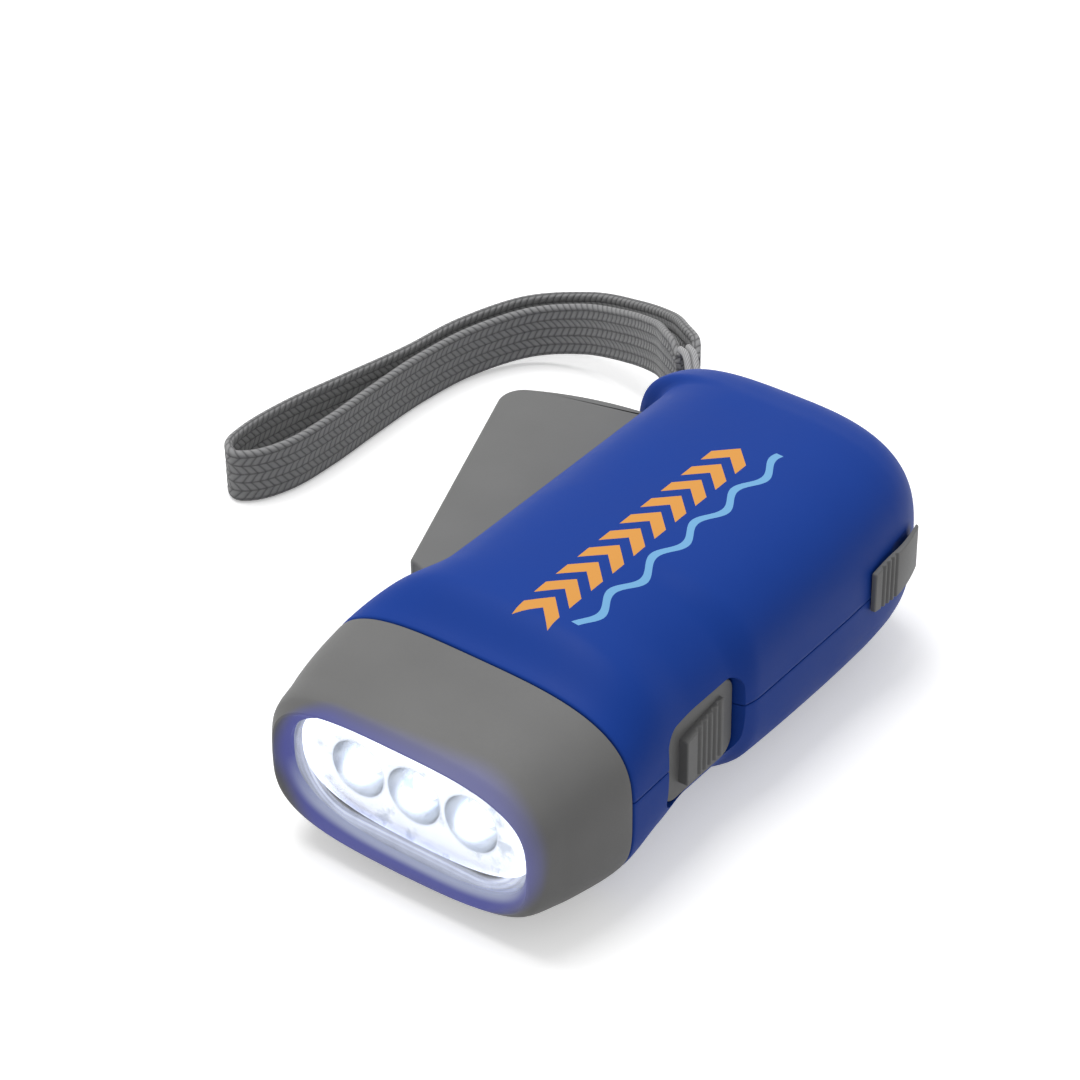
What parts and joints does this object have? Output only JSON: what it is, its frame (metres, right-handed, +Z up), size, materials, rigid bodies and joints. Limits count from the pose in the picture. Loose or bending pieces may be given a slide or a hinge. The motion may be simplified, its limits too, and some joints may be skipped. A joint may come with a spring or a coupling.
{
  "type": "dynamo flashlight",
  "caption": "Hand-squeezed dynamo flashlight with a soft blue body, grey lamp head with a clear window, swing-out lever, slide switches and a braided wrist strap.",
  "frame": {"origin": "on the flat underside of the body, below the middle of its length, on its centre plane", "axes": "-Y from the body towards the lamp head, +X towards the slide switches, away from the lever, +Z up from the underside"},
  "size_m": [0.124, 0.1387, 0.0386],
  "materials": {
    "soft_blue": "soft touch",
    "grey_plastic": "fine matt",
    "dark_plastic": "matt",
    "clear_lens": "polished clear plastic",
    "metallised": "bright",
    "lamp": "clear epoxy",
    "nylon": "moulded",
    "steel": "bright",
    "ferrite": "sintered",
    "iron": "laminated",
    "copper": "enamelled",
    "board": "solder mask",
    "webbing": "braided",
    "smooth_cord": "smooth"
  },
  "bodies": {
    "body": {"upper_shell": "soft_blue", "lower_shell": "soft_blue", "head_bezel": "grey_plastic", "lens": "clear_lens", "reflector": "metallised", "led_board": "board", "led_left": "lamp", "led_middle": "lamp", "led_right": "lamp", "lever_pivot_pin": "steel", "return_spring": "steel", "drive_gear_axle": "steel", "idler_gear_axle": "steel", "rotor_axle": "steel", "stator_core": "iron", "coil_bobbin": "nylon", "coil_winding": "copper", "circuit_board": "board", "battery_cell": "steel", "battery_clip": "steel", "slide_switch": "dark_plastic", "screw_head_left": "steel", "screw_head_right": "steel", "screw_tail_left": "steel", "screw_tail_right": "steel", "strap_post": "steel", "strap_tape": "webbing", "strap_cord": "smooth_cord"},
    "lever": {"squeeze_lever": "grey_plastic", "gear_rack": "nylon"},
    "drive": {"drive_gear": "nylon"},
    "idler": {"idler_gear": "nylon"},
    "pinion": {"rotor_pinion": "nylon"},
    "rotor": {"flywheel": "dark_plastic", "rotor_magnet": "ferrite"},
    "power_switch": {"power_slider": "grey_plastic"},
    "lever_lock": {"lock_slider": "grey_plastic"}
  },
  "joints": [
    {"name": "lever_squeeze", "type": "hinge", "parent": "body", "child": "lever", "pos_m": [-0.018, -0.014, 0.0193], "axis": [0, 0, -1], "range_deg": [0, 21], "stiffness_Nm_per_rad": 0.9, "springref_deg": -20.05, "deforming": ["return_spring"]},
    {"name": "drive_gear_turn", "type": "hinge", "parent": "body", "child": "drive", "pos_m": [0.00051, 0.02481, 0.0193], "axis": [0, 0, -1], "range_deg": [0, 202]},
    {"name": "idler_gear_turn", "type": "hinge", "parent": "body", "child": "idler", "pos_m": [0.00621, 0.01072, 0.0193], "axis": [0, 0, -1], "range_deg": [-566, 0]},
    {"name": "rotor_pinion_turn", "type": "hinge", "parent": "body", "child": "pinion", "pos_m": [0.00876, -0.00376, 0.0193], "axis": [0, 0, -1], "range_deg": [0, 1810]},
    {"name": "flywheel_spin", "type": "hinge", "parent": "body", "child": "rotor", "pos_m": [0.00876, -0.00376, 0.0193], "axis": [0, 0, -1], "continuous": true},
    {"name": "power_slide", "type": "slide", "parent": "body", "child": "power_switch", "axis": [0, -1, 0], "range_m": [0, 0.003]},
    {"name": "lock_slide", "type": "slide", "parent": "body", "child": "lever_lock", "axis": [0, -1, 0], "range_m": [0, 0.005]}
  ],
  "couplings": [
    {"joint": "drive_gear_turn", "follows": "lever_squeeze", "ratio": 9.6},
    {"joint": "idler_gear_turn", "follows": "lever_squeeze", "ratio": -26.88},
    {"joint": "rotor_pinion_turn", "follows": "lever_squeeze", "ratio": 86.016}
  ]
}
